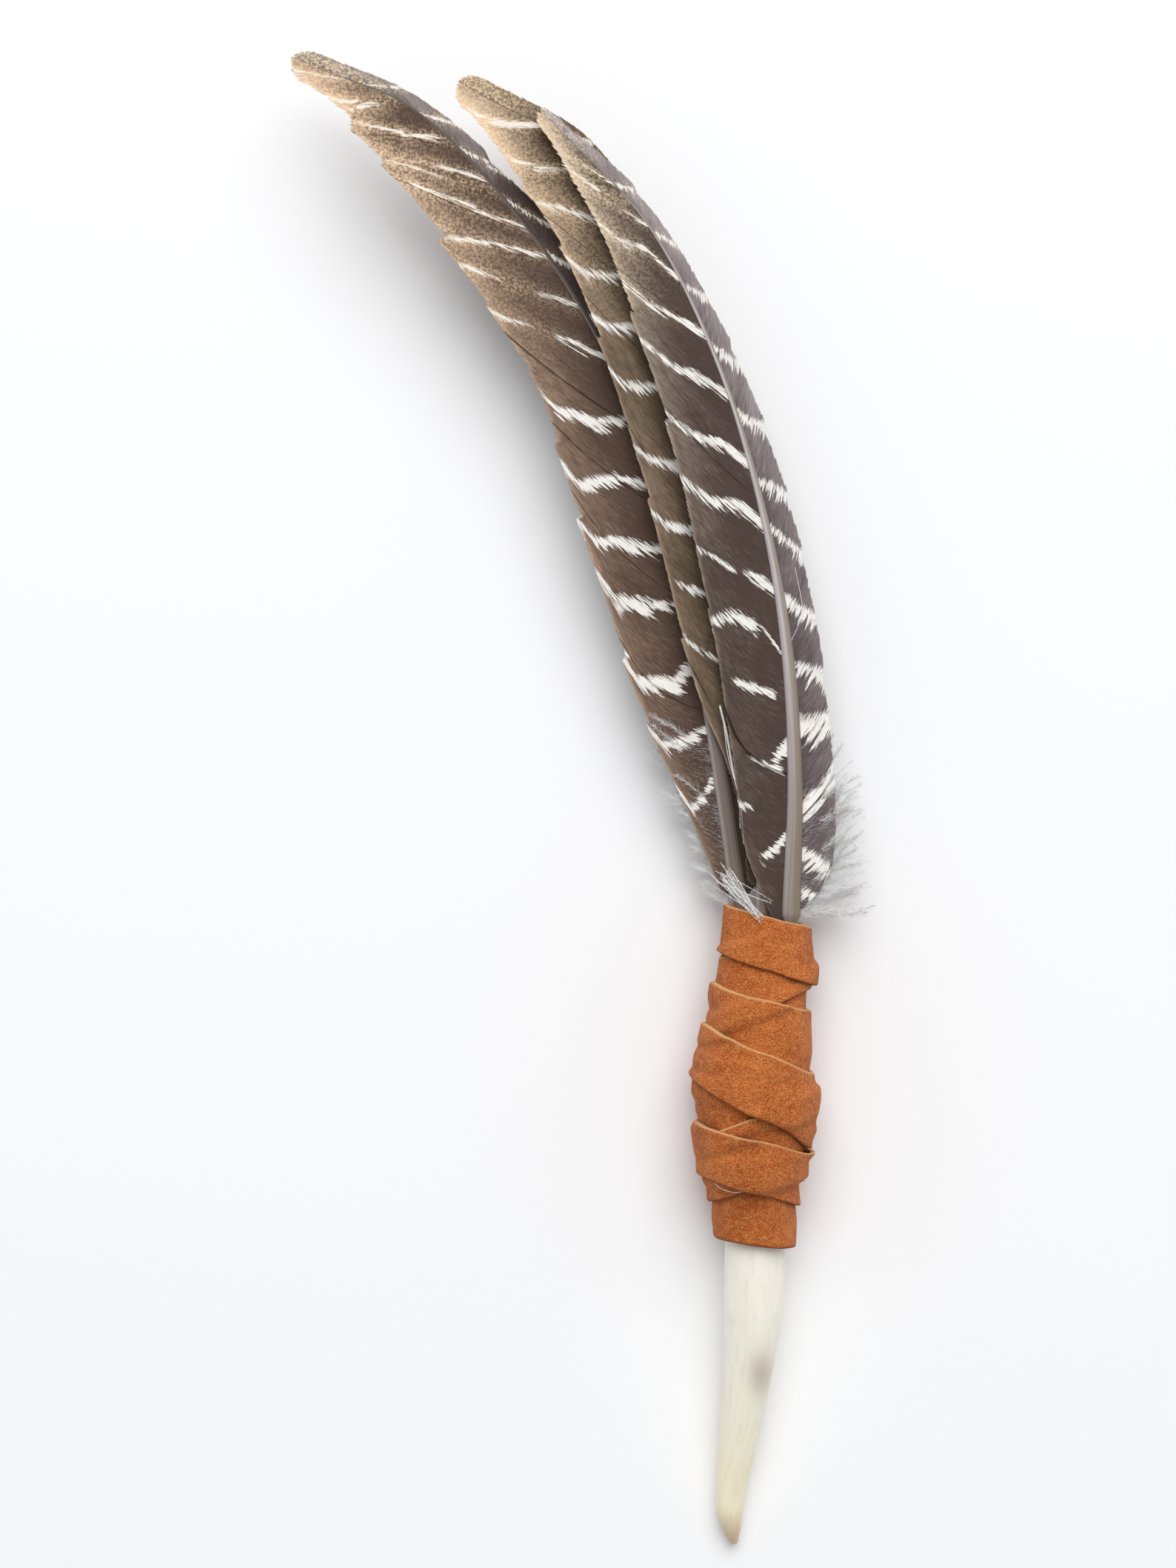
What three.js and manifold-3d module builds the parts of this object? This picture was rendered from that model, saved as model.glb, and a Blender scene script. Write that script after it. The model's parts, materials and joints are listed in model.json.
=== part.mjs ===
// A feather fan for smudging: three barred turkey wing feathers and a deer-antler
// tine for a handle, bound together with turns of suede strip.
//
// It lies on its back: +Z up from the table, +Y towards the feather tips, +X to the
// right. Lengths are in millimetres. While it is built, y = 0 is the mouth of the
// wrap, where the quills come out; the last lines move the origin to the middle of
// the underside.

import * as THREE from "three";
import { mergeVertices } from "three/addons/utils/BufferGeometryUtils.js";
import Module from "manifold-3d";

const wasm = await Module();
wasm.setup();

// ---- Driving dimensions ----

const GAP = 0.35;           // clearance between pieces that touch
const STRIP = 1.3;          // thickness of the suede strip
const LAYER = STRIP + GAP;  // from one layer of the wrap to the next
const VANE = 0.7;           // thickness of a vane's solid
const DOWN = 1.2;           // thickness of a down tuft's solid

const QUILL_FLATNESS = 0.85;  // height of a quill over its width
const FEATHER_SLOPE = 0.034;  // a feather leaves the wrap at this slope
const FEATHER_CURL = 0.0001;  // and bends up by this much per mm, squared
const INNER_CAMBER = 0.004;   // the wide vane's edge lifts
const OUTER_CAMBER = -0.003;  // the narrow vane's edge droops

const SHAFT_STEPS = 22;
const SHAFT_SIDES = 8;
const ROOT_GAP = 0.6;  // between a vane's root and the shaft
const VANE_STEPS = 20;
const VANE_ROWS = 4;
const BAND_SIDES = 28;
const BAND_ROWS = 4;
const ANTLER_SIDES = 16;

// ---- The feathers, lowest first ----
// shaft: where the shaft runs in plan, from the mouth of the wrap to its tip.
// quill: the bare quill inside the wrap, from its end to the mouth.
// inner, outer: how far the barbs reach at even steps from the mouth to the tip.
// The vanes and the down begin and end at the distances along the shaft given.

const FEATHERS = [
  {
    name: "left",
    height: 12.9,
    shaft: [[-4.7, 0], [-9.2, 36], [-18.2, 85], [-30, 130], [-47, 169], [-72, 204.5],
      [-98, 229.5], [-124, 240]],
    quill: [[-10.7, -60, 17], [-10.5, -40, 16.4], [-6.1, -14, 14]],
    inner: [12, 18, 28.5, 34, 38.5, 38, 39, 43, 47, 39, 24.5, 8],
    outer: [14, 24, 24.5, 23.5, 21.5, 19.5, 18, 17, 13.5, 10, 8.5, 4],
    innerFrom: 31,
    outerFrom: 12,
    down: { side: "inner", from: 5, to: 30 },
  },
  {
    name: "middle",
    height: 15.7,
    shaft: [[2.2, 0], [2.5, 38], [-3, 84], [-14, 135], [-29, 180], [-50, 216.5], [-78.5, 232.5]],
    quill: [[-0.2, -60, 24.7], [0.2, -42, 24.6], [1.2, -18, 20]],
    inner: [8, 15, 22.5, 28.5, 30, 32.5, 35, 41, 43, 38, 24, 7],
    outer: [14, 21, 23, 20, 18, 16, 15, 14.5, 13.5, 10.5, 11, 4],
    innerFrom: 22,
    outerFrom: 12,
    down: { side: "inner", from: 5, to: 21 },
  },
  {
    name: "right",
    height: 18.7,
    shaft: [[9.9, 0], [10.9, 40], [8.4, 78], [1.5, 116], [-11.5, 158], [-31, 196],
      [-58, 224.5]],
    quill: [[10.3, -60, 17], [10.4, -40, 17], [10, -14, 17.8]],
    inner: [6, 24, 27.5, 31, 32, 32, 32.5, 33, 30, 25.5, 16.5, 4],
    outer: [20, 21, 17, 15, 15, 14, 12.5, 11.5, 9.5, 9.5, 10, 3],
    innerFrom: 7,
    outerFrom: 41,
    down: { side: "outer", from: 5, to: 40 },
  },
];

// Half the width of a shaft, from the mouth of the wrap to the tip.
const SHAFT_TAPER = [2.1, 2.1, 2.05, 1.8, 1.4, 1, 0.8, 0.65, 0.55, 0.45, 0.35];
const QUILL_RADIUS = 2;

// The angle between barb and shaft at the mouth, halfway and at the tip, in degrees.
const BARB_ANGLES = { inner: [48, 40, 20], outer: [42, 32, 14] };

// ---- The antler tine: [x, y, z, radius] from the sawn butt to the tip ----

const ANTLER = [
  [0.4, -36, 13.7, 8.3],
  [-0.2, -60, 13.7, 8.6],
  [-0.2, -95, 13.6, 8.6],
  [-0.6, -112, 12.4, 8.4],
  [-1.5, -124, 11.2, 7.5],
  [-3, -138, 9.4, 6.6],
  [-4.7, -152, 7.2, 5.5],
  [-6.3, -164, 5.3, 4.5],
  [-6.9, -172, 4.4, 3.8],
  [-6.3, -178, 3.7, 2.5],
  [-5.5, -181.5, 3.3, 1.1],
];

// ---- The bound core under the wrap: [y, x, underside, half width, half height] ----

const CORE = [
  [6, 2.6, 11, 9.9, 5.7],
  [-13, 3, 8.9, 11.9, 7.9],
  [-24, 0.6, 6.9, 12.1, 9.8],
  [-38, -0.3, 4.6, 13.2, 11.7],
  [-54, 0, 4.6, 14.7, 11.7],
  [-64, -0.4, 4.6, 13.6, 11.7],
  [-76, -0.5, 4.6, 11.3, 10.8],
  [-86, -0.4, 4.6, 10.6, 10.3],
  [-96, 0, 4.6, 10.2, 9.9],
];
const CORE_SQUARENESS = 2.3;  // exponent of its superellipse section
const CORE_FLAT = 0.93;       // the underside is flat, cut at this part of its height

// ---- The wrap: each band's edges, where they cross its left and right sides ----
// layer 0 lies on the core, and a band lies over its neighbours of lower layer.

const BANDS = [
  { top: [4.2, -2], bottom: [-9, -19], layer: 1 },
  { top: [-10.5, -1.5], bottom: [-31, -19.5], layer: 0 },
  { top: [-18, -26], bottom: [-37, -44], layer: 1 },
  { top: [-32, -20.3], bottom: [-46, -50], layer: 0 },
  { top: [-29.5, -44], bottom: [-44.5, -65.5], layer: 2 },
  { top: [-39, -47], bottom: [-64, -50.5], layer: 1 },
  { top: [-47.5, -52], bottom: [-71, -68], layer: 0 },
  { top: [-57.5, -67.5], bottom: [-72.5, -81.5], layer: 2 },
  { top: [-66, -55], bottom: [-80.5, -71.5], layer: 1 },
  { top: [-72.5, -70], bottom: [-91, -93.5], layer: 0 },
];

// ---- The glue that beds the quills on the sawn end of the butt ----

const GLUE = { from: -35.4, to: -24, inset: 1.2 };

// ---- Colours, with roughness ----

const BONE = [0xeee4cd, 0.5];
const SUEDE = [0xb8622f, 0.95];
const QUILL = [0xb3a78f, 0.45];
const BARBS = { left: [0x6f5b45, 0.8], middle: [0x665645, 0.8], right: [0x5a4d42, 0.8] };
const FLUFF = [0xd9d4cb, 0.95];
const RESIN = [0xd8c07a, 0.4];

// ---- Helpers ----

const fan = new THREE.Group();

function addPiece(name, geometry, [color, roughness]) {
  const material = new THREE.MeshStandardMaterial({ color, roughness, metalness: 0 });
  const mesh = new THREE.Mesh(geometry, material);
  mesh.name = name;
  fan.add(mesh);
}

// A value from a list spread evenly over 0..1, by straight lines between its entries.
function sample(list, at) {
  const place = THREE.MathUtils.clamp(at, 0, 1) * (list.length - 1);
  const step = Math.min(Math.floor(place), list.length - 2);
  return THREE.MathUtils.lerp(list[step], list[step + 1], place - step);
}

// A closed body through sections of equal count, each a loop of an even number of
// points whose first half faces its second half. A looped body has no end caps.
function loft(sections, looped = false) {
  const count = sections[0].length;
  const points = sections.flat().flatMap((p) => [p.x, p.y, p.z]);
  const faces = [];
  const quad = (a, b, c, d) => faces.push(a, b, c, a, c, d);
  const spans = looped ? sections.length : sections.length - 1;
  for (let i = 0; i < spans; i++) {
    const here = i * count;
    const next = ((i + 1) % sections.length) * count;
    for (let j = 0; j < count; j++) {
      const k = (j + 1) % count;
      quad(here + j, here + k, next + k, next + j);
    }
  }
  if (!looped) {
    const last = (sections.length - 1) * count;
    for (let j = 0; j < count / 2 - 1; j++) {
      const far = count - 1 - j;
      quad(j, far, far - 1, j + 1);
      quad(last + j, last + j + 1, last + far - 1, last + far);
    }
  }
  const body = new THREE.BufferGeometry();
  body.setAttribute("position", new THREE.Float32BufferAttribute(points, 3));
  body.setIndex(faces);
  return facingOut(body);
}

function volume(body) {
  const p = body.getAttribute("position");
  const corners = [new THREE.Vector3(), new THREE.Vector3(), new THREE.Vector3()];
  let sum = 0;
  for (let i = 0; i < body.index.count; i += 3) {
    corners.forEach((corner, k) => corner.fromBufferAttribute(p, body.index.getX(i + k)));
    sum += corners[0].dot(corners[1].cross(corners[2])) / 6;
  }
  return sum;
}

function facingOut(body) {
  if (volume(body) < 0) {
    body.index.array.reverse();
  }
  return body;
}

// ---- Solids for booleans ----

function toSolid(geometry) {
  const bare = geometry.clone();
  bare.deleteAttribute("normal");
  bare.deleteAttribute("uv");
  const merged = mergeVertices(bare, 1e-4);
  return new wasm.Manifold(new wasm.Mesh({
    numProp: 3,
    vertProperties: new Float32Array(merged.getAttribute("position").array),
    triVerts: new Uint32Array(merged.index.array),
  }));
}

function toGeometry(solid) {
  const mesh = solid.getMesh();
  const body = new THREE.BufferGeometry();
  body.setAttribute("position", new THREE.BufferAttribute(mesh.vertProperties, 3));
  body.setIndex(new THREE.BufferAttribute(mesh.triVerts, 1));
  return body;
}

// ---- Antler ----

function ring(centre, across, up, radiusX, radiusZ, sides) {
  return Array.from({ length: sides }, (_, k) => {
    const angle = ((k + 0.5) / sides) * 2 * Math.PI;
    return centre.clone()
      .addScaledVector(across, radiusX * Math.cos(angle))
      .addScaledVector(up, radiusZ * Math.sin(angle));
  });
}

function antlerBody(spare = 0) {
  const across = new THREE.Vector3(1, 0, 0);
  const up = new THREE.Vector3(0, 0, 1);
  return loft(ANTLER.map(([x, y, z, radius]) => (
    ring(new THREE.Vector3(x, y, z), across, up, radius + spare, radius + spare, ANTLER_SIDES)
  )));
}

// ---- Feathers ----

function makeShaft(feather) {
  let run = 0;
  const shown = feather.shaft.map(([x, y], i) => {
    const before = feather.shaft[Math.max(i - 1, 0)];
    run += Math.hypot(x - before[0], y - before[1]);
    const rise = FEATHER_SLOPE * run + FEATHER_CURL * run * run;
    return new THREE.Vector3(x, y, feather.height + rise);
  });
  const hidden = feather.quill.map((point) => new THREE.Vector3(...point));
  return {
    visible: new THREE.CatmullRomCurve3(shown),
    whole: new THREE.CatmullRomCurve3([...hidden, ...shown]),
  };
}

function shaftRadius(part) {
  return sample(SHAFT_TAPER, part);
}

// The quill and the rachis in one tapered rod, thickened by spare for cutting.
function shaftBody(feather, spare = 0) {
  const { whole, visible } = makeShaft(feather);
  const hiddenLength = whole.getLength() - visible.getLength();
  const sections = [];
  for (let i = 0; i <= SHAFT_STEPS; i++) {
    const along = (i / SHAFT_STEPS) * whole.getLength();
    const centre = whole.getPointAt(i / SHAFT_STEPS);
    const ahead = whole.getTangentAt(i / SHAFT_STEPS);
    const across = new THREE.Vector3(ahead.y, -ahead.x, 0).normalize();
    const up = new THREE.Vector3().crossVectors(across, ahead).normalize();
    const part = (along - hiddenLength) / visible.getLength();
    const radius = (part < 0 ? QUILL_RADIUS : shaftRadius(part)) + spare;
    sections.push(ring(centre, across, up, radius, radius * QUILL_FLATNESS, SHAFT_SIDES));
  }
  return loft(sections);
}

// A thin sheet beside the shaft whose rows follow the barbs.
function vaneBody(feather, side, from, to, thickness) {
  const { visible } = makeShaft(feather);
  const length = visible.getLength();
  const hand = side === "inner" ? 1 : -1;
  const camber = side === "inner" ? INNER_CAMBER : OUTER_CAMBER;
  const sections = [];
  for (let i = 0; i <= VANE_STEPS; i++) {
    const along = THREE.MathUtils.lerp(from, to, i / VANE_STEPS);
    const part = along / length;
    const root = visible.getPointAt(part);
    const ahead = visible.getTangentAt(part);
    const angle = THREE.MathUtils.degToRad(sample(BARB_ANGLES[side], part));
    const heading = Math.atan2(ahead.y, ahead.x) + hand * angle;
    const start = (shaftRadius(part) + ROOT_GAP) / Math.sin(angle);
    const reach = Math.max(sample(feather[side], part), start + 1);
    const row = [];
    for (let j = 0; j <= VANE_ROWS; j++) {
      const out = THREE.MathUtils.lerp(start, reach, j / VANE_ROWS);
      const lateral = out * Math.sin(angle);
      const slope = FEATHER_SLOPE + 2 * FEATHER_CURL * along;
      const lift = slope * out * Math.cos(angle) + camber * lateral * lateral;
      row.push(new THREE.Vector3(
        root.x + out * Math.cos(heading),
        root.y + out * Math.sin(heading),
        root.z + lift,
      ));
    }
    const shifted = (dz) => row.map((p) => new THREE.Vector3(p.x, p.y, p.z + dz));
    sections.push([...shifted(thickness / 2), ...shifted(-thickness / 2).reverse()]);
  }
  return loft(sections);
}

function addFeather(feather) {
  const tip = makeShaft(feather).visible.getLength();
  const { name, down } = feather;
  addPiece(`${name}_shaft`, shaftBody(feather), QUILL);
  addPiece(`${name}_inner_vane`,
    vaneBody(feather, "inner", feather.innerFrom, tip, VANE), BARBS[name]);
  addPiece(`${name}_outer_vane`,
    vaneBody(feather, "outer", feather.outerFrom, tip, VANE), BARBS[name]);
  addPiece(`${name}_down`, vaneBody(feather, down.side, down.from, down.to, DOWN), FLUFF);
}

// ---- Wrap ----

const coreAt = new THREE.LinearInterpolant(
  CORE.map(([y]) => -y),
  CORE.flatMap(([, ...values]) => values),
  4,
);

// The point at an angle round the core, at height y, raised outwards by lift.
function wrapPoint(angle, y, lift) {
  const [x, underside, halfWidth, halfHeight] = coreAt.evaluate(-y);
  const power = 2 / CORE_SQUARENESS;
  const cos = Math.cos(angle);
  const sin = Math.sin(angle);
  const across = Math.sign(cos) * Math.abs(cos) ** power * (halfWidth + lift);
  const up = Math.sign(sin) * Math.abs(sin) ** power * (halfHeight + lift);
  const z = underside + CORE_FLAT * halfHeight + up;
  return new THREE.Vector3(x + across, y, Math.max(z, underside - lift));
}

// A ring of strip whose edges slope from one side of the fan to the other.
function bandBody({ top, bottom, layer }) {
  const inside = layer * LAYER;
  const outside = inside + STRIP;
  const sections = [];
  for (let i = 0; i < BAND_SIDES; i++) {
    const angle = (i / BAND_SIDES) * 2 * Math.PI;
    const rightness = (1 + Math.cos(angle)) / 2;
    const high = THREE.MathUtils.lerp(top[0], top[1], rightness);
    const low = THREE.MathUtils.lerp(bottom[0], bottom[1], rightness);
    const edge = (lift) => Array.from({ length: BAND_ROWS + 1 }, (_, j) => (
      wrapPoint(angle, THREE.MathUtils.lerp(high, low, j / BAND_ROWS), lift)
    ));
    sections.push([...edge(outside), ...edge(inside).reverse()]);
  }
  return loft(sections, true);
}

// ---- Glue bed ----

function glueBody() {
  const slice = (y) => Array.from({ length: BAND_SIDES }, (_, i) => (
    wrapPoint(((i + 0.5) / BAND_SIDES) * 2 * Math.PI, y, -GLUE.inset)
  ));
  const plug = toSolid(loft([slice(GLUE.from), slice(GLUE.to)]));
  return toGeometry(FEATHERS.reduce(
    (rest, feather) => rest.subtract(toSolid(shaftBody(feather, GAP))),
    plug,
  ));
}

// ---- Assembly ----

addPiece("antler_tine", antlerBody(), BONE);
FEATHERS.forEach(addFeather);
BANDS.forEach((band, i) => addPiece(`suede_turn_${i + 1}`, bandBody(band), SUEDE));
addPiece("glue_bed", glueBody(), RESIN);

// The origin goes to the middle of the underside.
const bounds = new THREE.Box3().setFromObject(fan);
const middle = bounds.getCenter(new THREE.Vector3());
fan.position.set(-middle.x, -middle.y, -bounds.min.z);

export default fan;
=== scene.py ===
"""A feather fan: three barred turkey wing feathers, a suede wrap and an antler tine.

The sizes below are in millimetres. Places are measured from the mouth of the wrap,
where the quills come out, as in the CAD source: +Y runs to the feather tips, +X to the
right and +Z up from the table.
"""
import json
import math

import bpy
import numpy as np
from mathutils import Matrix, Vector, noise


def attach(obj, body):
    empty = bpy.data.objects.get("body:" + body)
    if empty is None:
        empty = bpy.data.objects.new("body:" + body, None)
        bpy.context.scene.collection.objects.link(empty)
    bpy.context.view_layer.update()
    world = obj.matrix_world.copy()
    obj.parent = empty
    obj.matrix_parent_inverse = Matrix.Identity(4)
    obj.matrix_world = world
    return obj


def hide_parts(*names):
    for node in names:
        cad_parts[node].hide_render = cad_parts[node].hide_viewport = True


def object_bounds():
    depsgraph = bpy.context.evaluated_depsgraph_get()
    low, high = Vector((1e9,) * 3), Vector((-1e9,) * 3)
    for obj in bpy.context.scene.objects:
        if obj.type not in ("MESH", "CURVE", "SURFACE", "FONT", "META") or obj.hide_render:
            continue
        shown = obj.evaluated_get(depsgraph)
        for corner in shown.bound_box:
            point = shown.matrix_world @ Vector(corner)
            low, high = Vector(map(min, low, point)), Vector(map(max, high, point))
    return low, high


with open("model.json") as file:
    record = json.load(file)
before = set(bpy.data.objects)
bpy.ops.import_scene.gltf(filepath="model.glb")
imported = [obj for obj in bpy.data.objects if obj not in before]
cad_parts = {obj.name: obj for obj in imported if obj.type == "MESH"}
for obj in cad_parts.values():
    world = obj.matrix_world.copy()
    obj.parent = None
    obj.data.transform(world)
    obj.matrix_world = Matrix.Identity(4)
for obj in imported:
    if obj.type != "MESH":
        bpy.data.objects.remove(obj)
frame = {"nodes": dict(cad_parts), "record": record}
cad_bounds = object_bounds()

SEED = 7
MM = 0.001

# ---- Camera, straight above the fan, and soft light; the key lamp's place is in metres ----

CAMERA_PLACE = (-48.0, 38.6, 913.0)
CAMERA_SENSOR = 35.0
CAMERA_LENS = 70.02
SKY_COLOUR = (0.965, 0.983, 1, 1)
SKY_STRENGTH = 0.42
KEY_PLACE = (0.25, 2.15, 2.8)
KEY_SIZE = 3.6
KEY_POWER = 115
FLOOR_SIZE = 6

# ---- Where the mouth of the wrap is, from the mount under the wrap ----

MOUNT_FROM_MOUTH = np.array([-0.2, -46.0, 0.0])
MOUTH = np.array(frame["record"]["mounts"][0]["pos_m"]) / MM - MOUNT_FROM_MOUTH

# ---- Feathers ----

# Shares of the width of each inner vane, and of all outer ones, where a bar may turn.
KNEES = {"left": (0, 0.45, 0.88, 1), "middle": (0, 0.4, 0.85, 1), "right": (0, 0.3, 0.65, 1),
         "outer": (0, 0.5, 1)}
# How wide a bar is beside the shaft and at the edge of the vane, over its usual width.
SWELL = {"left": (0.8, 1.3), "middle": (1.1, 1), "right": (1.4, 0.7), "outer": (0.9, 1.1)}

FEATHER_SLOPE = 0.034   # rise of a shaft over its run, and how that grows along it
FEATHER_CURL = 0.0001
CAMBER = {"inner": 0.004, "outer": -0.003}
EDGE_CURL = {"inner": 1.1, "outer": 0.2}

# Even steps along the shaft: degrees between barb and shaft, how far a barb bends, and
# the radius of the shaft.
BARB_ANGLES = {"inner": [78, 75, 46, 36, 32, 28, 26], "outer": [56, 46, 38, 32, 28, 26, 26]}
BARB_BEND = {"inner": [36, 42, 26, 20, 16, 11, 8], "outer": [26, 22, 18, 14, 10, 8, 8]}
SHAFT_TAPER = [2.7, 2.4, 2.05, 1.8, 1.4, 1, 0.75, 0.58, 0.42, 0.26, 0.1]
QUILL_RADIUS = 2.0
QUILL_FLATNESS = 0.85
GROOVE = 0.16           # depth of the shaft's groove over its radius

ROW = 0.4             # between two rows of a vane's sheet; a barb has two
COLUMNS = 44
FAN = 4.0             # length of the rows past the shaft's end, which fan out there
RIDGE = 0.06          # height of a barb over the groove beside it
SHEET = 0.16          # thickness of a vane
SERRATION = 0.5       # how much further a barb reaches than the groove beside it
BARB_STEPS = 120      # points worked out along a barb before its end is known
RAGGED = 0.3          # how unevenly the barbs end
NOTCH_FADE = 9.0      # how far along the edge a notch is felt
PARTING_FADE = 8.0    # how far from a split the barbs still lean away from it
OVERLAP = 4.0         # how far each lobe of a vane runs on under the next one
SINK = 0.8            # how deep it lies there
LIFT = 0.2            # how high a lobe's lower border stands up, per degree of parting
LIFT_FADE = 2.5       # how far up the lobe that is felt
HALO = 3.8            # how far the tan beside a pale bar reaches

# height: of the shaft at the mouth; shaft: its plan from there to the tip; quill: the rest
# of it, inside the wrap.
# inner, outer: width of the vane at even steps along the shaft; tip: its reach past it;
# from: where the vane starts.
# notches: where the edge steps out towards the tip, and by how much; in, if negative.
# splits: where the barbs part, and by how many degrees.

FEATHERS = {
    "left": {
        "height": 12.9,
        "shaft": [(-4.7, 0), (-9.2, 36), (-18.2, 85), (-30, 130), (-47, 169),
                  (-72, 204.5), (-98, 229.5), (-124, 240)],
        "quill": [(-10.7, -60, 17), (-10.5, -40, 16.4), (-6.1, -14, 14)],
        "inner": [2, 8.5, 15, 20.8, 22.6, 24.6, 24.2, 21.6, 22.6, 21.8, 19.6, 16.8, 5],
        "outer": [9, 12, 15.8, 15.4, 14.3, 12.7, 11.3, 9.9, 8.6, 6.3, 4.2, 3.4, 4],
        "tip": 8,
        "from": {"inner": 6, "outer": 4},
        "notches": {"inner": [(270, -3.6), (253, -2.2), (222, -2.8), (197, -1.2), (172, -1),
                              (148, -1.6), (124, -1.8), (80, -1.4), (60, -1.2)],
                    "outer": [(229, 2), (180, 1)]},
        "splits": {"inner": [(236, 1), (205, 1), (142, 2.5), (118, 1.6), (92, 1), (60, 1.5)],
                   "outer": [(214, 2), (120, 2)]},
    },
    "middle": {
        "height": 15.7,
        "shaft": [(2.2, 0), (2.5, 38), (-3, 84), (-14, 135), (-29, 180), (-50, 216.5),
                  (-78.5, 232.5)],
        "quill": [(-0.2, -60, 24.7), (0.2, -42, 24.6), (1.2, -18, 20)],
        "inner": [4, 6, 9.7, 16.5, 19.1, 19.8, 20.4, 20.8, 20.8, 19.8, 20, 18.4, 5],
        "outer": [9, 11, 14, 14.6, 12.1, 10.5, 9, 7.8, 7.1, 5.9, 4.6, 4.6, 4.5],
        "tip": 7,
        "from": {"inner": 8, "outer": 8},
        "notches": {"inner": [(236, -1.4), (206, -1.2), (176, -1.2), (126, -1), (84, -1)],
                    "outer": [(150, 1)]},
        "splits": {"inner": [(176, 1), (150, 1), (110, 1), (50, 1)], "outer": [(120, 2)]},
    },
    "right": {
        "height": 18.7,
        "shaft": [(9.9, 0), (10.9, 40), (8.4, 78), (1.5, 116), (-11.5, 158), (-31, 196),
                  (-58, 224.5)],
        "quill": [(10.3, -60, 17), (10.4, -40, 17), (10, -14, 17.8)],
        "inner": [5, 15, 17.1, 19.3, 20, 21.4, 20.6, 20.1, 18.7, 17.3, 13.8, 9.2, 3.3],
        "outer": [9, 12, 11.4, 10.2, 9.3, 8.7, 7.8, 6.6, 5.6, 4.2, 3.6, 3.5, 1.8],
        "tip": 5,
        "from": {"inner": -3, "outer": 1},
        "notches": {"inner": [(184, -1.2), (150, -1), (92, -0.8)],
                    "outer": [(213, 1), (163, 1.2), (139, 1.2), (119, 1), (102, 1), (70, 0.8)]},
        "splits": {"inner": [(170, 1), (120, 1), (41, 5)],
                   "outer": [(180, 1), (146, 2), (125, 2), (104, 2), (84, 2), (48, 3),
                             (28, 4)]},
    },
}

# Pale bars: where each lies along the shaft, at each of the vane's KNEES across it; the
# part of the vane that it covers; and its own width.

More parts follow.
